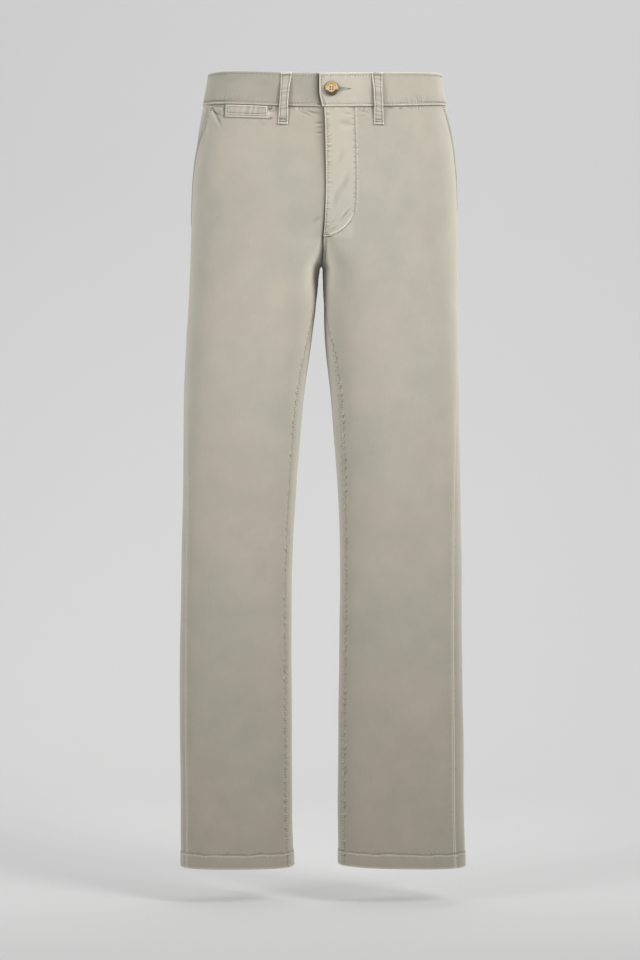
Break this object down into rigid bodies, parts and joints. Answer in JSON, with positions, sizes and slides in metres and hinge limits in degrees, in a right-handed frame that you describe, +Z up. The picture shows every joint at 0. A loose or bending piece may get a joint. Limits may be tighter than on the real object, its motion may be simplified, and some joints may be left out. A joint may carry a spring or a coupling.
{
  "type": "chino trousers",
  "caption": "Men's straight chino trousers, standing open as when worn: buttoned waistband, belt loops, zip fly, slanted side pockets and a coin pocket.",
  "frame": {"origin": "middle of the waist opening, halfway up the waistband, where a wearer holds the trousers", "axes": "+Z up towards the waist; -Y towards the front; the wearer's right is at -X and left at +X"},
  "size_m": [0.3809, 0.2704, 1.0637],
  "materials": {
    "twill": "sage beige garment-dyed cotton twill",
    "band_twill": "sage beige cotton twill, a little paler",
    "horn": "amber horn-like, glossy",
    "thread": "matt polyester thread",
    "tape": "matt woven tape",
    "brass": "satin"
  },
  "bodies": {
    "root": {"front_right": "twill", "back_right": "twill", "pocket_facing_right": "twill", "front_left": "twill", "back_left": "twill", "pocket_facing_left": "twill", "waistband_right": "band_twill", "waistband_left": "band_twill", "belt_loop_front_right": "band_twill", "belt_loop_front_left": "band_twill", "belt_loop_side_right": "band_twill", "belt_loop_side_left": "band_twill", "belt_loop_centre_back": "band_twill", "coin_pocket_welt": "twill", "button": "horn", "button_shank": "thread", "zip_tape": "tape", "zip_slider": "brass"}
  },
  "joints": []
}
